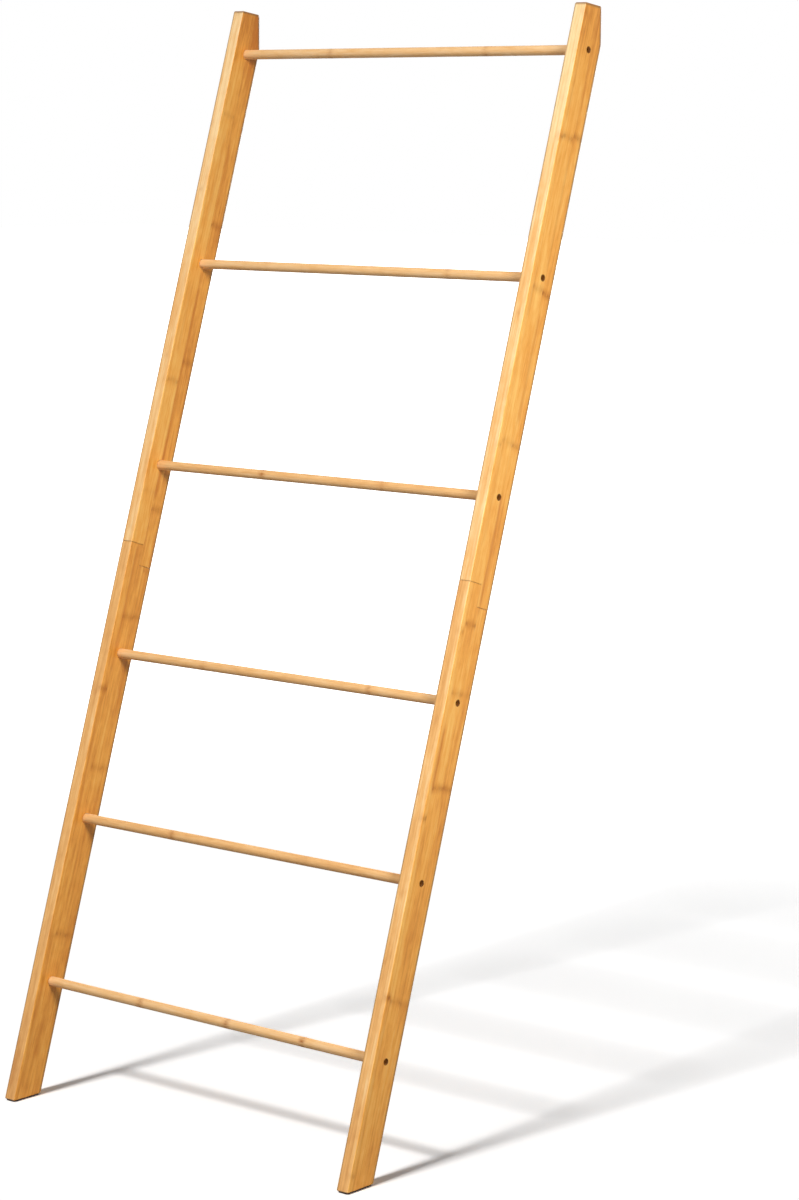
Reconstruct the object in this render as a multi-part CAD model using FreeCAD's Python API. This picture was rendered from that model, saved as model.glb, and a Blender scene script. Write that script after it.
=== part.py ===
import FreeCAD, Part
import math
import os

from FreeCAD import Vector

# A leaning blanket ladder. Two laminated bamboo rails, each made of a lower and an upper
# stave that meet in a half lap near mid length, carry round rungs. Each rung end sits in a
# blind socket and is drawn tight by a socket-head screw, sunk in the rail's outer face.
# A soft pad lies under each foot, and another on the upright bevel that touches the wall.
#
# Millimetres and degrees. +X runs along the rungs, +Y to the wall and +Z up. On a rail,
# "along" is measured from the floor up the front edge, and "back" from the front face
# towards the wall face.

# Stance
LEAN = 17.5  # from upright
RAIL_GAP = 600.0  # clear width between the rails

# Rails
RAIL_LENGTH = 1600.0  # front edge, floor to top corner
RAIL_DEPTH = 50.0
RAIL_THICKNESS = 19.0
EDGE_ROUND = 1.5  # easing of the side edges and of the outline's corners
TOP_SLOPE = 9.5  # top face, off square, rising to the back
BEVEL_DROP = 39.0  # the wall plane meets the back face this far below the top corner

# Half lap that joins the two staves of a rail
LAP_BELOW_MIDDLE = 5.0
LAP_LENGTH = 30.0
LAP_SHOULDER_GAP = 0.4  # left at each tongue's end, so that the long faces close first

# Rungs, from the lowest up. The gaps are shares of the stretch from the lowest to the top
# rung, and widen towards the top.
RUNG_DIAMETER = 14.0
LOWEST_RUNG = 176.0  # up the rail from the floor
TOP_RUNG_DROP = 58.0  # below the rail's top corner
RUNG_GAPS = (235, 240, 277, 299, 315)
SOCKET_CLEARANCE = 0.1  # on the radius

# Socket-head screws, one into each rung end
SCREW_LENGTH = 35.0  # under the head
SCREW_CORE_DIAMETER = 3.2
SCREW_HEAD_DIAMETER = 7.0
SCREW_HEAD_HEIGHT = 3.4
SCREW_KEY_ACROSS = 3.0
SCREW_KEY_FLOOR = 1.4  # metal left in the head under the key socket
SCREW_CLEARANCE = 0.15  # on the radius, round head and core
PILOT_SPARE = 3.0  # depth of the pilot hole beyond the screw's end
COUNTERBORE_DEPTH = 5.2  # from the outer face down to the head's seat
SEAT_WEB = 4.3  # wood between the head's seat and the rung's end

# Pads
FOOT_PAD_THICKNESS = 2.0
WALL_PAD_THICKNESS = 1.5
PAD_INSET = 1.5  # from the edges of the cut that carries the pad
PAD_CORNER = 2.0  # cut off each corner

UP = Vector(0, 0, 1)
TO_WALL = Vector(0, 1, 0)
TO_RIGHT = Vector(1, 0, 0)

SIN = math.sin(math.radians(LEAN))
COS = math.cos(math.radians(LEAN))
HALF_GAP = RAIL_GAP / 2
OUTER_FACE = HALF_GAP + RAIL_THICKNESS
HEAD_SEAT = OUTER_FACE - COUNTERBORE_DEPTH
HEAD_TOP = HEAD_SEAT + SCREW_HEAD_HEIGHT
SOCKET_FLOOR = HEAD_SEAT - SEAT_WEB
RAIL_MIDDLE = RAIL_DEPTH / 2  # behind the front face, for the rungs and the half lap
LAP_CENTRE = RAIL_LENGTH / 2 - LAP_BELOW_MIDDLE
WALL_PLANE = (RAIL_LENGTH - BEVEL_DROP) * SIN + RAIL_DEPTH * COS
BEVEL_PLANE = WALL_PLANE - WALL_PAD_THICKNESS


def rail_point(along, back, x=0.0):
    """The point at a place along a rail and a depth behind its front face."""
    return Vector(x, along * SIN + back * COS, along * COS - back * SIN)


def foot_corner(back):
    """Where the line at this depth meets the level foot cut."""
    return rail_point((FOOT_PAD_THICKNESS + back * SIN) / COS, back)


def bevel_foot():
    """Where the upright bevel meets the back face."""
    return rail_point((BEVEL_PLANE - RAIL_DEPTH * COS) / SIN, RAIL_DEPTH)


def bevel_top():
    """Where the upright bevel meets the sloping top face."""
    slope = math.radians(TOP_SLOPE)
    run = (BEVEL_PLANE - RAIL_LENGTH * SIN) / math.cos(math.radians(LEAN) - slope)
    return rail_point(RAIL_LENGTH + run * math.sin(slope), run * math.cos(slope))


def rung_places():
    """How far along the rail each rung sits, from the lowest up."""
    share = (RAIL_LENGTH - TOP_RUNG_DROP - LOWEST_RUNG) / sum(RUNG_GAPS)
    places = [LOWEST_RUNG]
    for gap in RUNG_GAPS:
        places.append(places[-1] + gap * share)
    return places


def eased(outline, size):
    """The same outline with each corner cut off at this distance along both of its sides."""
    points = []
    for index, corner in enumerate(outline):
        before = outline[index - 1]
        after = outline[(index + 1) % len(outline)]
        points.append(corner + (before - corner).normalize() * size)
        points.append(corner + (after - corner).normalize() * size)
    return points


def extruded(outline, reach):
    """A solid of one flat outline, drawn out along a vector."""
    return Part.Face(Part.makePolygon(outline + outline[:1])).extrude(reach)


def prism(side_view, x_from, x_to):
    """A solid of one outline in the side view, from one X to another."""
    start = [Vector(x_from, point.y, point.z) for point in side_view]
    return extruded(start, TO_RIGHT * (x_to - x_from))


def rod(x_from, x_to, radius, place):
    """A cylinder from one X up to another, on the axis of the rung at this place."""
    return Part.makeCylinder(radius, x_to - x_from, rail_point(place, RAIL_MIDDLE, x_from), TO_RIGHT)


def mirrored(shape):
    """The same piece on the left side."""
    return shape.mirror(Vector(0, 0, 0), TO_RIGHT)


def rail_blank():
    """A whole right rail with eased edges, before any hole or joint is cut."""
    outline = [foot_corner(0), rail_point(RAIL_LENGTH, 0), bevel_top(), bevel_foot(), foot_corner(RAIL_DEPTH)]
    blank = prism(eased(outline, EDGE_ROUND), HALF_GAP, OUTER_FACE)
    side_edges = [edge for edge in blank.Edges if edge.BoundBox.XLength < EDGE_ROUND]
    return blank.makeFillet(EDGE_ROUND, side_edges)


def rung_holes(place):
    """Socket, screw hole and counterbore, bored into the right rail for one rung."""
    socket = rod(HALF_GAP - EDGE_ROUND, SOCKET_FLOOR, RUNG_DIAMETER / 2 + SOCKET_CLEARANCE, place)
    core = rod(SOCKET_FLOOR, HEAD_SEAT, SCREW_CORE_DIAMETER / 2 + SCREW_CLEARANCE, place)
    head = rod(HEAD_SEAT, OUTER_FACE + EDGE_ROUND, SCREW_HEAD_DIAMETER / 2 + SCREW_CLEARANCE, place)
    return [socket, core, head]


def bored_rail():
    """The right rail with the holes for all its rungs."""
    holes = []
    for place in rung_places():
        holes.extend(rung_holes(place))
    return rail_blank().cut(holes)


def above_lap(shoulder_lift):
    """The space above the stepped line of the half lap, with both shoulders lifted."""
    front_shoulder = LAP_CENTRE + LAP_LENGTH / 2 + shoulder_lift
    back_shoulder = LAP_CENTRE - LAP_LENGTH / 2 + shoulder_lift
    beyond_top = RAIL_LENGTH + RAIL_DEPTH
    before_front = -RAIL_DEPTH
    behind_back = 2 * RAIL_DEPTH
    outline = [
        rail_point(front_shoulder, before_front),
        rail_point(front_shoulder, RAIL_MIDDLE),
        rail_point(back_shoulder, RAIL_MIDDLE),
        rail_point(back_shoulder, behind_back),
        rail_point(beyond_top, behind_back),
        rail_point(beyond_top, before_front),
    ]
    return prism(outline, 0, OUTER_FACE + RAIL_THICKNESS)


def staves():
    """The lower and the upper stave of the right rail, each with its tongue."""
    rail = bored_rail()
    lower = rail.cut(above_lap(-LAP_SHOULDER_GAP / 2))
    upper = rail.common(above_lap(LAP_SHOULDER_GAP / 2))
    return lower, upper


def rung(place):
    """One rung: a dowel that reaches both socket floors, with a pilot hole in each end."""
    dowel = rod(-SOCKET_FLOOR, SOCKET_FLOOR, RUNG_DIAMETER / 2, place)
    pilot_end = HEAD_SEAT - SCREW_LENGTH - PILOT_SPARE
    pilot = rod(pilot_end, SOCKET_FLOOR, SCREW_CORE_DIAMETER / 2 + SCREW_CLEARANCE, place)
    return dowel.cut([pilot, mirrored(pilot)])


def key_socket(place):
    """The hexagonal hole for the key, cut in from the head's outer end."""
    corner_radius = SCREW_KEY_ACROSS / 2 / math.cos(math.radians(30))
    centre = rail_point(place, RAIL_MIDDLE)
    corners = []
    for turn in range(0, 360, 60):
        angle = math.radians(turn)
        corners.append(centre + Vector(0, math.cos(angle), math.sin(angle)) * corner_radius)
    return prism(corners, HEAD_SEAT + SCREW_KEY_FLOOR, HEAD_TOP)


def screw(place):
    """The screw in the right end of a rung: a head with its key socket, and the core."""
    head = rod(HEAD_SEAT, HEAD_TOP, SCREW_HEAD_DIAMETER / 2, place)
    core = rod(HEAD_SEAT - SCREW_LENGTH, HEAD_SEAT, SCREW_CORE_DIAMETER / 2, place)
    return head.fuse(core).cut(key_socket(place))


def pad(from_corner, to_corner, length_axis, reach):
    """A flat pad on a cut of the right rail, drawn in from the cut's edges on all sides."""
    side = TO_RIGHT * (RAIL_THICKNESS - 2 * PAD_INSET)
    end = length_axis * ((to_corner - from_corner).dot(length_axis) - 2 * PAD_INSET)
    start = from_corner + TO_RIGHT * (HALF_GAP + PAD_INSET) + length_axis * PAD_INSET
    outline = [start, start + side, start + side + end, start + end]
    return extruded(eased(outline, PAD_CORNER), reach)


def foot_pad():
    """The pad under the right rail's level foot cut."""
    return pad(foot_corner(0), foot_corner(RAIL_DEPTH), TO_WALL, UP * -FOOT_PAD_THICKNESS)


def wall_pad():
    """The pad on the right rail's upright bevel."""
    return pad(bevel_foot(), bevel_top(), UP, TO_WALL * WALL_PAD_THICKNESS)


def pieces():
    """Every node's name with its shape, standing on the floor."""
    lower, upper = staves()
    right_side = {"rail_lower": lower, "rail_upper": upper,
                  "foot_pad": foot_pad(), "wall_pad": wall_pad()}
    named = {}
    for name, shape in right_side.items():
        named["right_" + name] = shape
        named["left_" + name] = mirrored(shape)
    for number, place in enumerate(rung_places(), start=1):
        named[f"rung_{number}"] = rung(place)
        named[f"rung_{number}_screws"] = Part.Compound([screw(place), mirrored(screw(place))])
    return named


def write_parts(named):
    """Centres the footprint on the origin and writes one STEP file for each node."""
    footprint = Part.Compound(list(named.values())).BoundBox
    to_origin = TO_WALL * -footprint.Center.y
    os.makedirs("parts", exist_ok=True)
    for name, shape in named.items():
        shape.translate(to_origin)
        shape.exportStep(f"parts/{name}.step")


write_parts(pieces())
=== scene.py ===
import math
import random
from collections import namedtuple

import bpy
from mathutils import Matrix, Vector


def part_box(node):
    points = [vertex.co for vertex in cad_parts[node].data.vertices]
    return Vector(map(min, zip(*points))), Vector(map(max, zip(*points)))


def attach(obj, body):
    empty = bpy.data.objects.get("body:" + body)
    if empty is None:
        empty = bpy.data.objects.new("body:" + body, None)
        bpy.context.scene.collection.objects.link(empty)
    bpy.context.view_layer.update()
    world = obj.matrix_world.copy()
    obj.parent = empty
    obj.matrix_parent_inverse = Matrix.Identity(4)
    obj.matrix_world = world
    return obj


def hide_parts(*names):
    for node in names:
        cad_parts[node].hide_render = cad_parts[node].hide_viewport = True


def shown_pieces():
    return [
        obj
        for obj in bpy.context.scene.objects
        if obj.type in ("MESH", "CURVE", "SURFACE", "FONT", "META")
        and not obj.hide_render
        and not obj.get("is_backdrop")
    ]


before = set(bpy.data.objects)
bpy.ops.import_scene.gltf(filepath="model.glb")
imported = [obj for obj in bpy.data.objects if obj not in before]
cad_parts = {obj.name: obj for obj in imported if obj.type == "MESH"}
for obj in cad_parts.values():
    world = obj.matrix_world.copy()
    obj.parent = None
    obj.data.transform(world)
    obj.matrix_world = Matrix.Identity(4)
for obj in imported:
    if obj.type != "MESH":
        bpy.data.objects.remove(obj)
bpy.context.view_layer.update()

# A leaning blanket ladder in laminated bamboo, seen from its right front on a white floor.
# Metres, in the frame of the solids: +X along the rungs, +Y to the wall, +Z up. The rails are
# the solids themselves under a bamboo material. The rungs, screws and pads are finer pieces
# that take the place of their solids.

MM = 0.001

# How a rail lies in the frame
LEAN = math.radians(17.5)
FOOT_SHIFT = 259.085 * MM  # from the front foot corner back to the frame's origin
HALF_GAP = 300 * MM
RAIL_THICKNESS = 19 * MM
RAIL_DEPTH = 50 * MM
RUNG_PLACES = (176, 411, 651, 928, 1227, 1542)  # millimetres up a rail
LAP_FRONT = 810 * MM  # shoulder of the half lap in the front half
LAP_BACK = 780 * MM  # and in the back half
LAYER = RAIL_THICKNESS / 3  # a rail is glued from three layers of strips
TOP_SLOPE = math.radians(9.5)  # of the top end, off square
BEVEL_PLANE = 515.59 * MM  # of the upright bevel, ahead of the front foot corner

# Camera, fitted to the edges, rungs and screw holes in the photograph
CAMERA_PLACE = (2.956, -3.319, 1.355)
CAMERA_YAW = math.radians(39.85)
CAMERA_PITCH = math.radians(8.19)
CAMERA_ROLL = math.radians(0.29)
CAMERA_LENS = 97.83
SENSOR_WIDTH = 36
CLIP_END = 200

Strip = namedtuple("Strip", "tone nodes")
Stain = namedtuple("Stain", "back first last strength")
Layer = namedtuple("Layer", "seams strips stains")

# The layers that the photograph shows, by stave and by layer from the inner face out. Seams
# and stains lie in millimetres behind the front face. A strip has a tone, dark 0 to pale 1,
# and its bamboo nodes: millimetres up the rail, and strength. A stain is a darker streak along
# the fibres, from one height on the rail to another, with its strength.
SEEN_LAYERS = {
    ("right_rail_lower", 2): Layer(
        seams=(8, 30),
        strips=(
            Strip(0.62, ((25, 0.5), (257, 1.0), (494, 0.7), (742, 0.4))),
            Strip(0.52, ((254, 0.6), (536, 0.9), (662, 0.5), (755, 0.8))),
            Strip(0.46, ((252, 0.5), (538, 0.9), (664, 0.4))),
        ),
        stains=(
            Stain(8, 528, 616, 0.9), Stain(7, 60, 250, 0.35), Stain(9, 420, 480, 0.3),
            Stain(31, 770, 840, 0.5), Stain(40, 20, 190, 0.3), Stain(22, 300, 390, 0.25),
        ),
    ),
    ("right_rail_upper", 2): Layer(
        seams=(8, 30),
        strips=(
            Strip(0.68, ((995, 0.3), (1416, 0.7), (1587, 0.4))),
            Strip(0.64, ((1002, 0.3), (1211, 0.5), (1419, 0.6))),
            Strip(0.54, ((1000, 0.6), (1207, 1.0), (1424, 0.7))),
        ),
        stains=(
            Stain(31, 780, 934, 0.9), Stain(34, 1030, 1180, 0.6), Stain(9, 1170, 1230, 0.4),
            Stain(30, 1240, 1400, 0.3), Stain(12, 860, 1010, 0.25), Stain(8, 1440, 1560, 0.3),
        ),
    ),
    ("left_rail_lower", 0): Layer(
        seams=(13, 35),
        strips=(
            Strip(0.46, ((240, 0.3), (596, 0.9))),
            Strip(0.40, ((243, 0.7), (484, 0.5), (704, 0.6))),
            Strip(0.36, ((244, 0.5), (486, 0.5), (706, 0.6), (775, 0.6))),
        ),
        stains=(
            Stain(14, 620, 806, 0.7), Stain(8, 20, 240, 0.6), Stain(6, 400, 600, 0.45),
            Stain(30, 250, 400, 0.3), Stain(40, 560, 660, 0.4), Stain(24, 60, 150, 0.3),
        ),
    ),
    ("left_rail_upper", 0): Layer(
        seams=(4, 26),
        strips=(
            Strip(0.66, ((1049, 0.3),)),
            Strip(0.60, ((887, 0.2), (1051, 0.5), (1447, 0.3))),
            Strip(0.38, ((864, 0.7), (1082, 0.7), (1287, 0.8))),
        ),
        stains=(
            Stain(28, 880, 1190, 0.9), Stain(31, 1200, 1400, 0.45), Stain(12, 1090, 1190, 0.3),
            Stain(38, 1500, 1610, 0.6), Stain(16, 1290, 1420, 0.3),
        ),
    ),
}

# Bamboo nodes on the rungs, from the lowest up: millimetres along X, and strength
RUNG_NODES = (
    ((-121, 0.9), (41, 0.8), (179, 1.0)),
    ((-126, 0.7), (122, 0.3)),
    ((-134, 0.4), (171, 0.7)),
    ((-98, 0.9), (122, 0.6)),
    ((-170, 0.2), (160, 0.5)),
    ((-134, 0.5), (148, 0.6)),
)


# ---------------------------------------------------------------- fields and node graphs


def srgb(red, green, blue):
    """A colour as a screen shows it, 0 to 255, as the linear colour that nodes take."""
    linear = []
    for value in (red / 255, green / 255, blue / 255):
        linear.append(value / 12.92 if value <= 0.04045 else ((value + 0.055) / 1.055) ** 2.4)
    return (*linear, 1.0)


class Field:
    """A number that varies over a surface. Arithmetic on it adds math nodes."""

    def __init__(self, graph, socket):
        self.graph = graph
        self.socket = socket

    def math(self, operation, *others):
        node = self.graph.node("ShaderNodeMath", operation=operation)
        for socket, value in zip(node.inputs, (self, *others)):
            self.graph.feed(socket, value)
        return Field(self.graph, node.outputs[0])

    def __add__(self, other):
        return self.math("ADD", other)

    def __sub__(self, other):
        return self.math("SUBTRACT", other)

    def __rsub__(self, other):
        return self * -1.0 + other

    def __mul__(self, other):
        return self.math("MULTIPLY", other)

    def __truediv__(self, other):
        return self.math("DIVIDE", other)

    def __abs__(self):
        return self.math("ABSOLUTE")

    def above(self, edge):
        return self.math("GREATER_THAN", edge)

    def below(self, edge):
        return self.math("LESS_THAN", edge)

    def least(self, other):
        return self.math("MINIMUM", other)

    def most(self, other):
        return self.math("MAXIMUM", other)

    def eased(self, start, end):
        """0 before start, 1 after end, and a smooth step between. Start may be the larger."""
        node = self.graph.node("ShaderNodeMapRange", interpolation_type="SMOOTHSTEP")
        self.graph.feed(node.inputs["Value"], self)
        node.inputs["From Min"].default_value = start
        node.inputs["From Max"].default_value = end
        return Field(self.graph, node.outputs["Result"])

    def band(self, half_width):
        """1 where the field is zero, fading to 0 at this distance either side."""
        return abs(self).eased(half_width, 0)


class Graph:
    """The node tree of a material or of the world, with short ways to add to it."""

    def __init__(self, owner, shader="Principled BSDF"):
        owner.use_nodes = True
        self.owner = owner
        self.tree = owner.node_tree
        self.shader = self.tree.nodes[shader]

    def node(self, kind, **settings):
        made = self.tree.nodes.new(kind)
        for key, value in settings.items():
            setattr(made, key, value)
        return made

    def feed(self, socket, value):
        """Wires a field or a socket into an input, or sets a plain value there."""
        if isinstance(value, Field):
            value = value.socket
        if isinstance(value, bpy.types.NodeSocket):
            self.tree.links.new(value, socket)
        else:
            socket.default_value = value

    def split(self, vector):
        node = self.node("ShaderNodeSeparateXYZ")
        self.feed(node.inputs[0], vector)
        return [Field(self, output) for output in node.outputs]

    def place(self):
        """X, Y and Z of the surface point, in the row frame."""
        return self.split(self.node("ShaderNodeTexCoord").outputs["Object"])

    def normal(self):
        return self.split(self.node("ShaderNodeNewGeometry").outputs["Normal"])

    def vector(self, x, y, z):
        node = self.node("ShaderNodeCombineXYZ")
        for socket, value in zip(node.inputs, (x, y, z)):
            self.feed(socket, value)
        return node.outputs[0]

    def noise(self, vector, detail=2.0, roughness=0.5):
        """Cloudy noise about zero, most of it within 0.25 either side."""
        node = self.node("ShaderNodeTexNoise")
        self.feed(node.inputs["Vector"], vector)
        node.inputs["Scale"].default_value = 1.0
        node.inputs["Detail"].default_value = detail
        node.inputs["Roughness"].default_value = roughness
        return Field(self, node.outputs[0]) - 0.5

    def cloud(self, size, detail=2.0, roughness=0.5):
        """Noise with features of this size, alike in all directions."""
        x, y, z = self.place()
        return self.noise(self.vector(x / size, y / size, z / size), detail, roughness)

    def cells(self, vector):
        """Distance to the nearest of a scatter of points about one unit apart."""
        node = self.node("ShaderNodeTexVoronoi")
        self.feed(node.inputs["Vector"], vector)
        node.inputs["Scale"].default_value = 1.0
        return Field(self, node.outputs["Distance"])

    def ramp(self, factor, *colours):
        """Colours spread evenly from 0 to 1."""
        node = self.node("ShaderNodeValToRGB")
        stops = node.color_ramp.elements
        while len(stops) < len(colours):
            stops.new(0.5)
        for index, colour in enumerate(colours):
            stops[index].position = index / (len(colours) - 1)
            stops[index].color = colour
        self.feed(node.inputs[0], factor)
        return node.outputs[0]

    def mix(self, factor, first, second):
        """The first colour where the factor is 0, and the second where it is 1."""
        node = self.node("ShaderNodeMix", data_type="RGBA")
        self.feed(node.inputs[0], factor)
        self.feed(node.inputs[6], first)
        self.feed(node.inputs[7], second)
        return node.outputs[2]

    def seen(self):
        """1 where the camera or a reflection looks, and 0 for all other light."""
        rays = self.node("ShaderNodeLightPath").outputs
        camera = Field(self, rays["Is Camera Ray"])
        glossy = Field(self, rays["Is Glossy Ray"])
        return camera.most(glossy).most(Field(self, rays["Is Transmission Ray"]))

    def finish(self, colour, roughness, height):
        """Wires colour, roughness, and a height in metres as bump, into the shader."""
        self.feed(self.shader.inputs["Base Color"], colour)
        self.feed(self.shader.inputs["Roughness"], roughness)
        bump = self.node("ShaderNodeBump")
        bump.inputs["Strength"].default_value = 1.0
        bump.inputs["Distance"].default_value = 1.0
        self.feed(bump.inputs["Height"], height)
        self.tree.links.new(bump.outputs[0], self.shader.inputs["Normal"])
        return self.owner


def chosen(field, edges, options):
    """The option for the stretch between edges that a field falls in."""
    total = options[0]
    for edge, before, after in zip(edges, options, options[1:]):
        step = field.above(edge)
        total = step * (after - before) + total
    return total


def to_nearest(field, places):
    """How far a field is from the nearest of some places."""
    nearest = abs(field - places[0])
    for place in places[1:]:
        nearest = nearest.least(abs(field - place))
    return nearest


# ---------------------------------------------------------------- bamboo

SIDE_TONES = (srgb(198, 118, 38), srgb(238, 165, 70), srgb(252, 198, 106))
EDGE_TONES = (srgb(206, 144, 80), srgb(237, 180, 110), srgb(252, 216, 160))
RUNG_TONES = (srgb(204, 145, 84), srgb(229, 179, 119), srgb(241, 204, 156))
GLUE_BROWN = srgb(150, 88, 36)
NODE_BROWN = srgb(158, 82, 20)
STAIN_ORANGE = srgb(190, 104, 22)
# The next colour is painted shade in the counterbores, and a darker ring round them
COUNTERBORE_DARK = srgb(104, 54, 10)
ARRIS_GREY = srgb(128, 96, 58)
END_BROWN = srgb(150, 98, 50)
PORE_BROWN = srgb(112, 66, 30)

# Painted light and shade up the rails: the heights between which each grows, and how far
PAINTED_SHADE_TOP = (1490 * MM, 1590 * MM)  # painted shade on the side faces, darker towards the top
PAINTED_SHADE_TOP_BY = 0.40
PAINTED_LIGHT_TOP = (1150 * MM, 1580 * MM)  # painted light on the front and back faces, paler towards the top
PAINTED_LIGHT_BY = 0.25
PAINTED_SHADE_FOOT = (280 * MM, 30 * MM)  # painted shade on the front and back faces, growing downwards to the foot
PAINTED_SHADE_FOOT_BY = 0.18

# Noises drawn out along the fibres: width and length of their features in millimetres, a
# shift that sets each apart from the others, and detail
RAIL_NOISES = {
    "fine": (0.45, 28, 0.0, 3.0),
    "fibre": (1.5, 36, 7.0, 3.0),
    "streak": (3.4, 95, 11.0, 2.0),
    "drift": (15, 110, 23.0, 2.0),
    "mottle": (6, 17, 37.0, 3.0),
    "wave": (9, 40, 31.0, 2.0),
    "ragged": (1.2, 9, 5.0, 2.0),
    "dashes": (0.8, 5, 41.0, 2.0),
}
RUNG_NOISES = {
    "fine": (0.4, 22, 0.0, 3.0),
    "streak": (2.6, 60, 11.0, 2.0),
    "drift": (9, 70, 23.0, 2.0),
    "mottle": (4, 16, 37.0, 3.0),
    "wave": (5, 30, 31.0, 2.0),
    "ragged": (1.2, 9, 5.0, 2.0),
    "dashes": (1.2, 6, 41.0, 2.0),
}
RAIL_SHADE = {"fine": 0.32, "fibre": 0.55, "streak": 0.75, "drift": 0.75, "mottle": 0.50}
RUNG_SHADE = {"fine": 0.40, "streak": 0.60, "drift": 0.50, "mottle": 0.50}
RAIL_DASHES = (-0.08, 0.16)  # of the noise, from no dash to a full one
RUNG_DASHES = (-0.12, 0.14)
RUNG_PATCHES = (-0.14, 0.16)
NODE_WAVE = 5 * MM  # how far a node line wanders up and down
RAIL_RAGGED = 1.0 * MM
RUNG_RAGGED = 1.2 * MM

# Marks: the distance at which each fades out, and the one within which it is full
SEAM_LINE = (0.35 * MM, 0.1 * MM)
SEAM_GROOVE = (0.3 * MM, 0)
GLUE_LINE = (0.3 * MM, 0.1 * MM)
NODE_LINE = (4.0 * MM, 0.5 * MM)
NODE_HALO = (10 * MM, 1 * MM)
NODE_BY_SEAM = (7 * MM, 0.5 * MM)
RUNG_NODE_LINE = (3.4 * MM, 0.4 * MM)
RUNG_NODE_HALO = (10 * MM, 0.5 * MM)
STAIN_WIDTH = (4.6 * MM, 0.3 * MM)
STAIN_WANDER = 3 * MM
SCREW_RING = (5.3 * MM, 4.1 * MM)  # from the screw's axis
LAP_WIDTH = 1.8 * MM
LAP_SIDE_WIDTH = 0.5 * MM  # of the line up the middle of the side faces

# How strongly each mark colours the wood
SEAM_MARK = 0.22
GLUE_MARK = 0.25
STAIN_MARK = 0.62
ARRIS_MARK = 0.82
COUNTERBORE_MARK = 0.92
LAP_MARK = 0.30
RUNG_SEAM_MARK = 0.2
END_MARK = 0.85

# Where the grey starts and is full near each arris that shows it: wear on the back arrises, painted
# shade on the front arris turned away from the light, and a grey outline round the top end and bevel
INNER_ARRIS = (3.4 * MM, 1.9 * MM)  # across from the inner face
OUTER_ARRIS = (15.6 * MM, 17.1 * MM)
FRONT_ARRIS = 3 * MM  # how far back the front arris reaches
BACK_ARRIS = (44.8 * MM, 47.2 * MM)
TOP_ARRIS = (1595.6 * MM, 1598.0 * MM)  # along the rail, where the sloping top meets its front
BEVEL_ARRIS = (BEVEL_PLANE - 4.6 * MM, BEVEL_PLANE - 2.2 * MM)

LAYER_EDGES = (LAYER, 2 * LAYER)
MIDDLE = RAIL_DEPTH / 2
RUNG_SEAMS = (-2.6 * MM, 2.8 * MM)
RUNG_BACK = 3.2 * MM  # behind a rung's axis; beyond it the photograph doesn't show the nodes
HIDDEN_NODE = 0.6  # strength of the nodes there
PORE_SPACING = 0.8 * MM

Marks = namedtuple("Marks", "tone node power seam stain")


class Bamboo:
    """Bamboo at a point: its place across, behind and along the fibres, and its noises."""

    def __init__(self, graph, across, back, along, seed, noises):
        self.graph = graph
        self.across = across
        self.back = back
        self.along = along
        self.seed = seed
        self.noise = {name: self.grain(*settings) for name, settings in noises.items()}

    def grain(self, width, length, shift, detail):
        """Noise drawn out along the fibres, its features this many millimetres wide and long."""
        vector = self.graph.vector(
            self.across / (width * MM) + (shift + self.seed),
            self.back / (width * MM) + shift,
            self.along / (length * MM),
        )
        return self.graph.noise(vector, detail)

    def shaded(self, tone, amounts):
        """A tone with this much of each noise added to it."""
        for name, amount in amounts.items():
            tone = tone + self.noise[name] * amount
        return tone

    def wandering(self, raggedness):
        """The place along the fibres, shifted so that a level line comes out wavy and ragged."""
        return self.along + self.noise["wave"] * NODE_WAVE + self.noise["ragged"] * raggedness


def nearest_node(line, nodes):
    """Distance along a strip to its nearest node, and how strong that node is."""
    places = [place * MM for place, _ in nodes]
    halfway = [(low + high) / 2 for low, high in zip(places, places[1:])]
    return to_nearest(line, places), chosen(line, halfway, [strength for _, strength in nodes])


def grown_layer(chance, tone, first, last):
    """A layer that the photograph doesn't show, with strips, nodes and stains at random."""
    offset = chance.uniform(3, 19)
    seams = (offset, offset + 22)
    strips = []
    for _ in range(3):
        nodes = []
        place = first + chance.uniform(30, 260)
        while place < last:
            nodes.append((place, chance.uniform(0.3, 0.8)))
            place += chance.uniform(210, 300)
        strips.append(Strip(tone + chance.uniform(-0.12, 0.12), tuple(nodes)))
    stains = []
    for _ in range(4):
        start = chance.uniform(first, last - 60)
        back = chance.choice(seams) + chance.uniform(-2, 3)
        stains.append(Stain(back, start, start + chance.uniform(60, 200), chance.uniform(0.3, 0.8)))
    return Layer(seams, tuple(strips), tuple(stains))


def rail_layers(name, tone, first, last):
    """The three layers of a stave, from its inner face out."""
    chance = random.Random(name)
    layers = []
    for index in range(3):
        grown = grown_layer(chance, tone, first, last)
        layers.append(SEEN_LAYERS.get((name, index), grown))
    return layers


def stained(bamboo, stains):
    """How strong the darker streaks of a layer are at a point, from 0 to 1."""
    total = None
    for stain in stains:
        aside = abs(bamboo.back - stain.back * MM + bamboo.noise["streak"] * STAIN_WANDER)
        middle = (stain.first + stain.last) / 2 * MM
        half = (stain.last - stain.first) / 2 * MM
        inside = abs(bamboo.along - middle).eased(half + 8 * MM, half - 12 * MM)
        one = aside.eased(*STAIN_WIDTH) * inside * stain.strength
        total = one if total is None else total.most(one)
    return total


def layer_marks(bamboo, layer, line):
    """What one layer of a stave has at a point, in the strip that the point lies in."""
    edges = [seam * MM for seam in layer.seams]
    nodes = [nearest_node(line, strip.nodes) for strip in layer.strips]
    return Marks(
        tone=chosen(bamboo.back, edges, [strip.tone for strip in layer.strips]),
        node=chosen(bamboo.back, edges, [distance for distance, _ in nodes]),
        power=chosen(bamboo.back, edges, [power for _, power in nodes]),
        seam=to_nearest(bamboo.back, edges),
        stain=stained(bamboo, layer.stains),
    )


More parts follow.
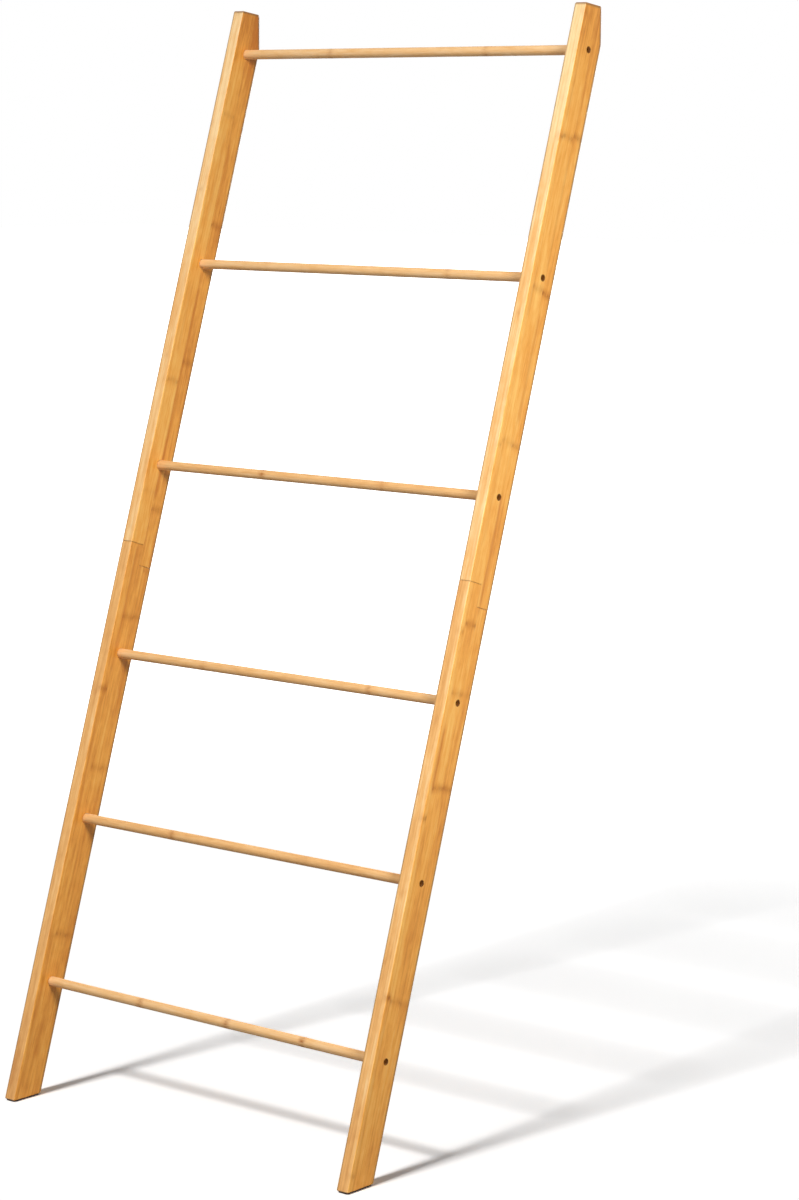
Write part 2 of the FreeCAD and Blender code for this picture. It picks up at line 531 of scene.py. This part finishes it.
def stave_marks(bamboo, layers):
    """What a stave has at a point, in the layer that the point lies in."""
    line = bamboo.wandering(RAIL_RAGGED)
    by_layer = [layer_marks(bamboo, layer, line) for layer in layers]
    return Marks(*(chosen(bamboo.across, LAYER_EDGES, options) for options in zip(*by_layer)))


def rail_place(graph):
    """Across from the inner face, back from the front face, and along a rail."""
    x, y, z = graph.place()
    forward = y + FOOT_SHIFT
    along = forward * math.sin(LEAN) + z * math.cos(LEAN)
    back = forward * math.cos(LEAN) - z * math.sin(LEAN)
    return abs(x) - HALF_GAP, back, along


def arris_wear_and_shade(name, bamboo):
    """Where a stave is greyed: wear on the back arrises, painted shade on the one front arris turned
    away from the light, and a grey outline round the top end and bevel.
    """
    back, along = bamboo.back, bamboo.along
    shade_side = bamboo.across.eased(*(INNER_ARRIS if name.startswith("right") else OUTER_ARRIS))
    # painted shade on the front arris, on the side away from the light
    front = shade_side * back.below(FRONT_ARRIS)
    top = (along - back * math.tan(TOP_SLOPE)).eased(*TOP_ARRIS)
    forward = along * math.sin(LEAN) + back * math.cos(LEAN)
    return back.eased(*BACK_ARRIS).most(front * 0.8).most(top).most(forward.eased(*BEVEL_ARRIS))


def lap_line(back, along):
    """The glue line of the half lap, where it comes out at the rail's faces."""
    front = (along - LAP_FRONT).band(LAP_WIDTH) * back.below(MIDDLE)
    rear = (along - LAP_BACK).band(LAP_WIDTH) * back.above(MIDDLE)
    between = along.above(LAP_BACK) * along.below(LAP_FRONT)
    middle = (back - MIDDLE).band(LAP_SIDE_WIDTH) * between
    return front.most(rear).most(middle * 0.8)


def counterbore_shade_and_ring(back, along):
    """Painted shade on the wall of each counterbore, and a darker ring round its mouth."""
    up = to_nearest(along, [place * MM for place in RUNG_PLACES])
    aside = back - MIDDLE
    return (up * up + aside * aside).math("SQRT").eased(*SCREW_RING)


def end_grain(bamboo, colour, facing_end):
    """Colour with the pores of the end grain where the surface cuts across the fibres."""
    graph = bamboo.graph
    across, back = bamboo.across / PORE_SPACING, bamboo.back / PORE_SPACING
    pores = graph.cells(graph.vector(across, back, 0.0)).eased(0.38, 0.18)
    cut = graph.mix(pores, END_BROWN, PORE_BROWN)
    return graph.mix(facing_end * END_MARK, colour, cut)


def unmarked_rail(bamboo, tone, on_side):
    """The wood of a rail before its marks, one colour on the sides and one on front and back, with
    painted light and shade up the rail.
    """
    graph = bamboo.graph
    shade = bamboo.shaded(tone, RAIL_SHADE)
    # Painted light: the front and back faces paler towards the top.
    painted_light = bamboo.along.eased(*PAINTED_LIGHT_TOP) * PAINTED_LIGHT_BY
    # Painted shade: the front and back faces darker towards the foot.
    painted_foot_shade = bamboo.along.eased(*PAINTED_SHADE_FOOT) * PAINTED_SHADE_FOOT_BY
    # Painted shade: the side faces darker and browner towards the top.
    painted_top_shade = bamboo.along.eased(*PAINTED_SHADE_TOP) * PAINTED_SHADE_TOP_BY
    edge_colour = graph.ramp(shade + painted_light - painted_foot_shade, *EDGE_TONES)
    side_colour = graph.ramp(shade - painted_top_shade, *SIDE_TONES)
    return graph.mix(on_side, edge_colour, side_colour)


def rail_nodes(bamboo, marks):
    """The dashes of a rail's nodes, the halo round them, and how dark they are together."""
    line = marks.node.eased(*NODE_LINE) * marks.power
    halo = marks.node.eased(*NODE_HALO) * marks.power
    dashes = bamboo.noise["dashes"].eased(*RAIL_DASHES)
    by_seam = marks.seam.eased(*NODE_BY_SEAM)
    dark = line * (dashes * 0.36 + by_seam * 0.26) + halo * (bamboo.noise["mottle"] * 0.9 + 0.36)
    return line * dashes, halo, dark * (bamboo.noise["fine"] * 1.2 + 1.0)


def marked_rail(bamboo, colour, strengths):
    """The wood of a rail with its marks over it, one after another."""
    for strength, mark_colour in strengths:
        colour = bamboo.graph.mix(strength, colour, mark_colour)
    return colour


def rail_material(name, tone, first, last):
    """Laminated bamboo for one stave: strips, seams, nodes, fibres and end grain."""
    graph = Graph(bpy.data.materials.new("bamboo_" + name))
    seed = sum(map(ord, name)) % 97
    bamboo = Bamboo(graph, *rail_place(graph), seed, RAIL_NOISES)
    marks = stave_marks(bamboo, rail_layers(name, tone, first, last))
    fine, fibre, mottle = (bamboo.noise[kind] for kind in ("fine", "fibre", "mottle"))

    nx, ny, nz = graph.normal()
    on_side = (nx * nx).eased(0.15, 0.75)
    facing_end = abs(ny * math.sin(LEAN) + nz * math.cos(LEAN)).eased(0.35, 0.65)

    seam_line = marks.seam.eased(*SEAM_LINE) * SEAM_MARK
    glue_line = to_nearest(bamboo.across, LAYER_EDGES).eased(*GLUE_LINE) * GLUE_MARK
    dashes, halo, node_dark = rail_nodes(bamboo, marks)
    # Wear on the back arrises, painted shade on one front arris, and a grey outline at the top end
    # and bevel
    wear_and_shade = arris_wear_and_shade(name, bamboo) * (mottle * 1.4 + 0.8)
    # Painted shade on the counterbore walls, and a darker ring round their mouths
    counterbore_shade = counterbore_shade_and_ring(bamboo.back, bamboo.along)
    lap = lap_line(bamboo.back, bamboo.along)

    colour = marked_rail(bamboo, unmarked_rail(bamboo, marks.tone, on_side), (
        (marks.stain * STAIN_MARK, STAIN_ORANGE),
        (seam_line.most(glue_line), GLUE_BROWN),
        (node_dark * (on_side * 0.5 + 0.5), NODE_BROWN),
        (wear_and_shade * ARRIS_MARK, ARRIS_GREY),
        (counterbore_shade * COUNTERBORE_MARK, COUNTERBORE_DARK),
    ))
    colour = end_grain(bamboo, colour, facing_end)
    colour = graph.mix(lap * LAP_MARK, colour, GLUE_BROWN)

    roughness = fine * 0.35 + halo * 0.1 + counterbore_shade * 0.4 + 0.44
    height = fine * (0.08 * MM) + fibre * (0.06 * MM) - dashes * (0.02 * MM)
    height = height - marks.seam.eased(*SEAM_GROOVE) * (0.06 * MM) - lap * (0.03 * MM)
    graph.shader.inputs["Specular IOR Level"].default_value = 0.25
    graph.shader.inputs["Coat Weight"].default_value = 0.04
    graph.shader.inputs["Coat Roughness"].default_value = 0.28
    return graph.finish(colour, roughness, height)


def rung_node(bamboo, forward, nodes, chance):
    """Distance to a rung's nearest node, and its strength: others show round the back."""
    line = bamboo.wandering(RUNG_RAGGED)
    seen = nearest_node(line, nodes)
    hidden = [(place + chance.uniform(60, 110), HIDDEN_NODE) for place, _ in nodes]
    behind = nearest_node(line, hidden)
    return [chosen(forward, (RUNG_BACK,), options) for options in zip(seen, behind)]


def rung_material(number, centre, turn):
    """Turned bamboo for one rung: the glued strips lie at an angle of their own."""
    graph = Graph(bpy.data.materials.new(f"bamboo_rung_{number}"))
    x, y, z = graph.place()
    up = z - centre.z
    forward = y - centre.y
    across = forward * math.cos(turn) + up * math.sin(turn)
    back = up * math.cos(turn) - forward * math.sin(turn)
    bamboo = Bamboo(graph, across, back, x, 7.0 * number, RUNG_NOISES)
    fine, streak, mottle = (bamboo.noise[kind] for kind in ("fine", "streak", "mottle"))

    chance = random.Random(number)
    tone = chosen(back, RUNG_SEAMS, [chance.uniform(0.4, 0.7) for _ in range(3)])
    node, power = rung_node(bamboo, forward, RUNG_NODES[number - 1], chance)
    line = node.eased(*RUNG_NODE_LINE) * power * bamboo.noise["dashes"].eased(*RUNG_DASHES)
    halo = node.eased(*RUNG_NODE_HALO) * power
    node_dark = line * 0.25 + halo * (mottle.eased(*RUNG_PATCHES) * 0.55 + 0.10)
    seam_line = to_nearest(back, RUNG_SEAMS).eased(*GLUE_LINE) * RUNG_SEAM_MARK

    colour = graph.ramp(bamboo.shaded(tone, RUNG_SHADE), *RUNG_TONES)
    colour = graph.mix(seam_line, colour, GLUE_BROWN)
    colour = graph.mix(node_dark, colour, NODE_BROWN)
    colour = end_grain(bamboo, colour, abs(graph.normal()[0]).eased(0.6, 0.8))

    roughness = fine * 0.3 + halo * 0.1 + 0.50
    height = fine * (0.07 * MM) + streak * (0.04 * MM)
    graph.shader.inputs["Specular IOR Level"].default_value = 0.12
    return graph.finish(colour, roughness, height)


# ---------------------------------------------------------------- metal and rubber

STEEL_TONES = (srgb(84, 44, 8), srgb(116, 66, 14), srgb(156, 98, 30))
RUBBER_TONES = (srgb(36, 29, 24), srgb(58, 48, 40), srgb(92, 80, 68))


def screw_material():
    """Dark oxidised steel, rubbed a little brighter in patches."""
    graph = Graph(bpy.data.materials.new("blackened_steel"))
    patches = graph.cloud(0.9 * MM, 4.0, 0.6)
    fleck = graph.cloud(0.15 * MM)
    colour = graph.ramp(patches + 0.5, *STEEL_TONES)
    graph.shader.inputs["Specular IOR Level"].default_value = 0.08
    return graph.finish(colour, patches * 0.4 + 0.65, fleck * (0.02 * MM))


def pad_material():
    """Dark brown rubber with a fine, slightly dusty grain."""
    graph = Graph(bpy.data.materials.new("dark_rubber"))
    grit = graph.cloud(0.5 * MM, 3.0, 0.6)
    dust = graph.cloud(6 * MM)
    colour = graph.ramp(grit * 0.8 + dust * 0.6 + 0.45, *RUBBER_TONES)
    graph.shader.inputs["Specular IOR Level"].default_value = 0.35
    return graph.finish(colour, grit * 0.3 + 0.78, grit * (0.10 * MM))


# ---------------------------------------------------------------- meshes


def smooth_mesh(name, points, faces, sharp_above):
    """A mesh that is shaded smooth, except over edges that turn by more degrees than this."""
    mesh = bpy.data.meshes.new(name)
    mesh.from_pydata(points, [], faces)
    mesh.shade_smooth()
    mesh.set_sharp_from_angle(angle=math.radians(sharp_above))
    return mesh


def turned(name, rings, segments, sharp_above):
    """A closed mesh from rings of points, the first and last of them single points."""
    points = [rings[0]]
    for ring in rings[1:-1]:
        points.extend(ring)
    points.append(rings[-1])
    faces = []
    count = len(rings) - 2
    for step in range(segments):
        after = (step + 1) % segments
        faces.append((0, 1 + after, 1 + step))
        for row in range(count - 1):
            low = 1 + row * segments
            high = low + segments
            faces.append((low + step, low + after, high + after, high + step))
        low = 1 + (count - 1) * segments
        faces.append((low + step, low + after, len(points) - 1))
    return smooth_mesh(name, points, faces, sharp_above)


def placed(name, mesh, node, material):
    """Puts a piece in the place of a solid, to ride with it."""
    piece = bpy.data.objects.new(name, mesh)
    bpy.context.scene.collection.objects.link(piece)
    mesh.materials.append(material)
    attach(piece, "root")
    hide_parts(node)


def ring(x, radius, centre, segments):
    """Points of a circle round a line along X. The radius may vary with the angle."""
    points = []
    for step in range(segments):
        angle = 2 * math.pi * step / segments
        reach = radius(angle) if callable(radius) else radius
        points.append((x, centre.y + reach * math.cos(angle), centre.z + reach * math.sin(angle)))
    return points


RUNG_RADIUS = 7 * MM
RUNG_SEGMENTS = 64
RUNG_STEPS = 150  # along its length
RUNG_SHARP = 35
RUNG_END_EASE = 0.8 * MM
PILOT_RADIUS = 1.75 * MM
PILOT_DEPTH = 33.7 * MM  # from the rung's end
NODE_SWELL = 0.15 * MM
SWELL_REACH = 7 * MM


def swell(x, nodes):
    """How far a rung stands proud at its bamboo nodes, which the turning leaves a little high."""
    total = 0.0
    for place, strength in nodes:
        total += NODE_SWELL * strength * math.exp(-(((x - place * MM) / SWELL_REACH) ** 2))
    return total


def rung_mesh(name, centre, end, nodes):
    """A turned dowel with eased ends, this far from the middle, and a pilot hole in each."""
    profile = [(-end + PILOT_DEPTH, PILOT_RADIUS), (-end, PILOT_RADIUS)]
    profile.append((-end, RUNG_RADIUS - RUNG_END_EASE))
    start = -end + RUNG_END_EASE
    for step in range(RUNG_STEPS + 1):
        x = start * (1 - 2 * step / RUNG_STEPS)
        profile.append((x, RUNG_RADIUS - NODE_SWELL + swell(x, nodes)))
    profile.append((end, RUNG_RADIUS - RUNG_END_EASE))
    profile.extend([(end, PILOT_RADIUS), (end - PILOT_DEPTH, PILOT_RADIUS)])
    rings = [(-end + PILOT_DEPTH + PILOT_RADIUS, centre.y, centre.z)]
    rings.extend(ring(x, radius, centre, RUNG_SEGMENTS) for x, radius in profile)
    rings.append((end - PILOT_DEPTH - PILOT_RADIUS, centre.y, centre.z))
    return turned(name, rings, RUNG_SEGMENTS, RUNG_SHARP)


HEAD_RADIUS = 3.5 * MM
HEAD_HEIGHT = 3.4 * MM
HEAD_EASE = 0.45 * MM
HEAD_BEND = 0.35  # share of the easing that the edge between its two slopes is cut back by
KNURL_DEPTH = 0.07 * MM
KNURL_FOOT = 0.35 * MM  # above the seat
SEAT_RADIUS = HEAD_RADIUS - 0.3 * MM
KEY_ACROSS = 3.0 * MM
KEY_DEPTH = 2.0 * MM
KEY_TIP = 0.3 * MM  # of the drill, below the key socket's floor
KEY_LEAD = 0.2 * MM  # depth of the chamfer round the key socket
KEY_MOUTH = 1.95 * MM  # radius
THREAD_CREST = 1.70 * MM
THREAD_ROOT = 1.28 * MM
THREAD_PITCH = 1.8 * MM
THREAD_FLAT = 0.45  # share of each turn that lies at the root
THREAD_START = 2 * MM  # length over which the thread rises
NECK_LENGTH = 0.4 * MM
NECK_FLARE = 0.25 * MM
SHANK_LENGTH = 35 * MM
SHANK_STEPS = 150
POINT_LENGTH = 4 * MM
POINT_RADIUS = 0.25  # share of the shank's
SCREW_SEGMENTS = 48
SCREW_SHARP = 32


def hexagon(across):
    """Reach of a hexagon's side at an angle, for one with this width across its flats."""
    def reach(angle):
        return across / 2 / math.cos((angle % (math.pi / 3)) - math.pi / 6)
    return reach


def knurl(angle):
    """The fine ribs round the head, one every second point."""
    return HEAD_RADIUS - KNURL_DEPTH * (0.5 - 0.5 * math.cos(angle * SCREW_SEGMENTS / 2))


def thread(below):
    """Reach of the threaded shank at an angle, this far below the head."""
    taper = min(1.0, (SHANK_LENGTH - below) / POINT_LENGTH)
    depth = min(1.0, (below - NECK_LENGTH) / THREAD_START) * taper

    def reach(angle):
        turn = below / THREAD_PITCH + angle / (2 * math.pi)
        crest = 1 - abs(2 * (turn % 1.0) - 1)
        sharp = max(0.0, (crest - THREAD_FLAT) / (1 - THREAD_FLAT))
        full = THREAD_ROOT + (THREAD_CREST - THREAD_ROOT) * depth * sharp
        return full * (POINT_RADIUS + (1 - POINT_RADIUS) * taper)
    return reach


def screw_profile():
    """Heights above the seat and radii, from the key socket's floor round the head and down."""
    bend = HEAD_EASE * HEAD_BEND
    profile = [
        (HEAD_HEIGHT - KEY_DEPTH, hexagon(KEY_ACROSS)),
        (HEAD_HEIGHT - KEY_LEAD, hexagon(KEY_ACROSS)),
        (HEAD_HEIGHT, KEY_MOUTH),
        (HEAD_HEIGHT, HEAD_RADIUS - HEAD_EASE),
        (HEAD_HEIGHT - bend, HEAD_RADIUS - bend),
        (HEAD_HEIGHT - HEAD_EASE, knurl),
        (KNURL_FOOT, knurl),
        (0, SEAT_RADIUS),
        (0, THREAD_ROOT + NECK_FLARE),
        (-NECK_LENGTH, THREAD_ROOT),
    ]
    for step in range(1, SHANK_STEPS):
        below = NECK_LENGTH + (SHANK_LENGTH - NECK_LENGTH) * step / SHANK_STEPS
        profile.append((-below, thread(below)))
    return profile


def screw_rings(centre, seat, side):
    """Rings of one screw, from the floor of its key socket round the head to its point."""
    floor = HEAD_HEIGHT - KEY_DEPTH - KEY_TIP
    rings = [(side * (seat + floor), centre.y, centre.z)]
    for height, radius in screw_profile():
        rings.append(ring(side * (seat + height), radius, centre, SCREW_SEGMENTS))
    rings.append((side * (seat - SHANK_LENGTH), centre.y, centre.z))
    return rings


def joined(name, meshes):
    """One mesh from several."""
    points, faces = [], []
    for mesh in meshes:
        shift = len(points)
        points.extend(tuple(vertex.co) for vertex in mesh.vertices)
        faces.extend(tuple(shift + index for index in face.vertices) for face in mesh.polygons)
    return smooth_mesh(name, points, faces, SCREW_SHARP)


def screw_pair(name, centre, head_top):
    """The two screws of a rung."""
    seat = head_top - HEAD_HEIGHT
    sides = []
    for side in (1, -1):
        rings = screw_rings(centre, seat, side)
        mesh = turned(name + "_side", rings, SCREW_SEGMENTS, SCREW_SHARP)
        if side > 0:
            mesh.flip_normals()  # its rings run the other way along X
        sides.append(mesh)
    return joined(name, sides)


PAD_CORNER = 2.4 * MM
PAD_CORNER_LEAST = 0.3 * MM
PAD_CORNER_STEPS = 8
PAD_BULGE = 0.35 * MM
PAD_LEVELS = 8
PAD_SHARP = 50


def rounded_outline(half_long, half_wide, inset):
    """Points round a rectangle with round corners, drawn in by an inset."""
    points = []
    corner = max(PAD_CORNER - inset, PAD_CORNER_LEAST)
    half_long -= inset
    half_wide -= inset
    for quarter in range(4):
        sign_long = 1 if quarter in (0, 3) else -1
        sign_wide = 1 if quarter in (0, 1) else -1
        for step in range(PAD_CORNER_STEPS + 1):
            angle = math.pi / 2 * (quarter + step / PAD_CORNER_STEPS)
            points.append((
                sign_long * (half_long - corner) + corner * math.cos(angle),
                sign_wide * (half_wide - corner) + corner * math.sin(angle),
            ))
    return points


def pad_mesh(name, low, high, thin_axis):
    """A pressed rubber pad: round corners, and sides that bulge between its two faces."""
    centre = (low + high) / 2
    half = (high - low) / 2
    long_axis = 3 - thin_axis  # 1 for a foot pad, 2 for a wall pad

    def point(long, wide, height):
        place = [centre[0] + wide, 0.0, 0.0]
        place[long_axis] = centre[long_axis] + long
        place[thin_axis] = centre[thin_axis] + height * half[thin_axis]
        return tuple(place)

    rings = [point(0, 0, -1)]
    for level in range(PAD_LEVELS + 1):
        height = -1 + 2 * level / PAD_LEVELS
        inset = PAD_BULGE * (1 - math.sqrt(max(0.0, 1 - height * height)))
        outline = rounded_outline(half[long_axis], half[0], inset)
        rings.append([point(long, wide, height) for long, wide in outline])
    rings.append(point(0, 0, 1))
    mesh = turned(name, rings, len(outline), PAD_SHARP)
    if thin_axis == 2:
        mesh.flip_normals()  # the outline runs the other way round this axis
    return mesh


# ---------------------------------------------------------------- the object

# Tone of each stave's hidden layers, and the heights in millimetres that it spans
STAVES = {"lower": (0.50, 0, 810), "upper": (0.66, 780, 1600)}
RUNG_TURN = 37  # degrees that the strips of a rung are turned by, beyond those of the one below


def dress_rails():
    """Gives each stave its bamboo."""
    for side in ("left", "right"):
        for part, (tone, first, last) in STAVES.items():
            name = f"{side}_rail_{part}"
            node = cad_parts[name]
            node.data.materials.clear()
            node.data.materials.append(rail_material(name, tone, first, last))


def build_rungs():
    """Puts a turned rung and its two screws in place of each plain pair of solids."""
    steel = screw_material()
    for number, nodes in enumerate(RUNG_NODES, start=1):
        low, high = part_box(f"rung_{number}")
        centre = (low + high) / 2
        name = f"rung_{number}_turned"
        mesh = rung_mesh(name, centre, high.x, nodes)
        bamboo = rung_material(number, centre, math.radians(RUNG_TURN * number))
        placed(name, mesh, f"rung_{number}", bamboo)
        name = f"rung_{number}_screw_pair"
        head_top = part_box(f"rung_{number}_screws")[1].x
        mesh = screw_pair(name, centre, head_top)
        placed(name, mesh, f"rung_{number}_screws", steel)


def build_pads():
    """Puts a pressed rubber pad in place of each plain one."""
    rubber = pad_material()
    for side in ("left", "right"):
        for place, thin_axis in (("foot", 2), ("wall", 1)):
            node = f"{side}_{place}_pad"
            name = node + "_pressed"
            placed(name, pad_mesh(name, *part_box(node), thin_axis), node, rubber)


# ---------------------------------------------------------------- studio

FLOOR_REACH = 30.0
FLOOR_COLOUR = srgb(202, 202, 202)
FLOOR_SEEN = (1.88, 1.88, 1.88, 1.0)  # the floor's colour where the camera or a reflection looks
FLOOR_FADE = (1.6, 3.0)  # distances over which the floor runs out to plain white
WHITE = (1, 1, 1, 1)
AMBIENT = 0.11
SUN_SLANT = (0.04, 0.84, -1.0)  # from the shadows on the photograph's floor

Sun = namedtuple("Sun", "level spread")
SUNS = {"narrow_sun": Sun(0.48, 8.0), "broad_sun": Sun(0.09, 22)}  # spread in degrees

SoftBox = namedtuple("SoftBox", "place target size spread watts")
SOFT_BOXES = {
    "top_box": SoftBox((1.2, -1.6, 2.7), (-0.1, 0.1, 1.30), size=0.35, spread=70, watts=1.6),
    "side_box": SoftBox((2.5, -0.9, 2.0), (0.1, 0, 0.6), size=0.9, spread=90, watts=15.5),
    "back_box": SoftBox((-1.0, 2.9, 1.4), (0.0, 0.0, 0.8), size=1.4, spread=110, watts=28),
}


def floor_material():
    """A pale floor that keeps the shadow, and runs out to plain white in the distance."""
    graph = Graph(bpy.data.materials.new("studio_floor"))
    x, y, _ = graph.place()
    distance = (x * x + y * y).math("SQRT")
    seen = graph.seen()
    graph.feed(graph.shader.inputs["Base Color"], graph.mix(seen, FLOOR_COLOUR, FLOOR_SEEN))
    graph.shader.inputs["Roughness"].default_value = 1.0
    graph.shader.inputs["Specular IOR Level"].default_value = 0.0
    graph.shader.inputs["Emission Color"].default_value = WHITE
    graph.feed(graph.shader.inputs["Emission Strength"], seen * distance.eased(*FLOOR_FADE))
    return graph.owner


def build_floor():
    """One large flat sheet at floor level."""
    reach = FLOOR_REACH
    corners = [(-reach, -reach, 0), (reach, -reach, 0), (reach, reach, 0), (-reach, reach, 0)]
    mesh = bpy.data.meshes.new("studio_floor")
    mesh.from_pydata(corners, [], [(0, 1, 2, 3)])
    mesh.materials.append(floor_material())
    floor = bpy.data.objects.new("studio_floor", mesh)
    bpy.context.scene.collection.objects.link(floor)
    floor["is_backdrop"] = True


def build_world():
    """White where the camera or a reflection looks, and an even soft fill for all else."""
    world = bpy.data.worlds.new("studio")
    bpy.context.scene.world = world
    graph = Graph(world, "Background")
    strength = graph.node("ShaderNodeMapRange")
    graph.feed(strength.inputs["Value"], graph.seen())
    strength.inputs["To Min"].default_value = AMBIENT
    strength.inputs["To Max"].default_value = 1.0
    graph.shader.inputs["Color"].default_value = WHITE
    graph.feed(graph.shader.inputs["Strength"], strength.outputs["Result"])


def aimed_lamp(name, data, direction):
    """Puts a lamp in the scene that shines in this direction."""
    lamp = bpy.data.objects.new(name, data)
    lamp.rotation_mode = "QUATERNION"
    lamp.rotation_quaternion = Vector(direction).to_track_quat("-Z", "Y")
    bpy.context.scene.collection.objects.link(lamp)
    return lamp


def build_suns():
    """Two suns that light everything and throw the shadow."""
    for name, sun in SUNS.items():
        data = bpy.data.lights.new(name, "SUN")
        data.energy = sun.level * math.pi
        data.angle = math.radians(sun.spread)
        aimed_lamp(name, data, SUN_SLANT)


def build_soft_boxes():
    """Three round soft boxes that light the ladder alone, each within its spread in degrees."""
    ladder = bpy.data.collections.new("ladder_alone")
    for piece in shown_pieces():
        ladder.objects.link(piece)
    for name, box in SOFT_BOXES.items():
        data = bpy.data.lights.new(name, "AREA")
        data.shape = "DISK"
        data.size = box.size
        data.spread = math.radians(box.spread)
        data.energy = box.watts
        lamp = aimed_lamp(name, data, Vector(box.target) - Vector(box.place))
        lamp.location = box.place
        lamp.light_linking.receiver_collection = ladder


def build_camera():
    """The photograph's camera."""
    yaw, pitch, roll = CAMERA_YAW, CAMERA_PITCH, CAMERA_ROLL
    ahead = Vector((-math.sin(yaw), math.cos(yaw), 0))
    forward = ahead * math.cos(pitch) - Vector((0, 0, math.sin(pitch)))
    level = Vector((math.cos(yaw), math.sin(yaw), 0))
    upright = level.cross(forward)
    right = level * math.cos(roll) + upright * math.sin(roll)
    up = upright * math.cos(roll) - level * math.sin(roll)
    data = bpy.data.cameras.new("camera")
    data.lens = CAMERA_LENS
    data.sensor_width = SENSOR_WIDTH
    data.clip_end = CLIP_END
    camera = bpy.data.objects.new("camera", data)
    turn = Matrix((right, up, -forward)).transposed()
    camera.matrix_world = Matrix.Translation(CAMERA_PLACE) @ turn.to_4x4()
    bpy.context.scene.collection.objects.link(camera)
    bpy.context.scene.camera = camera


dress_rails()
build_rungs()
build_pads()
build_floor()
build_world()
build_suns()
build_soft_boxes()
build_camera()
bpy.context.scene.view_settings.view_transform = "Standard"
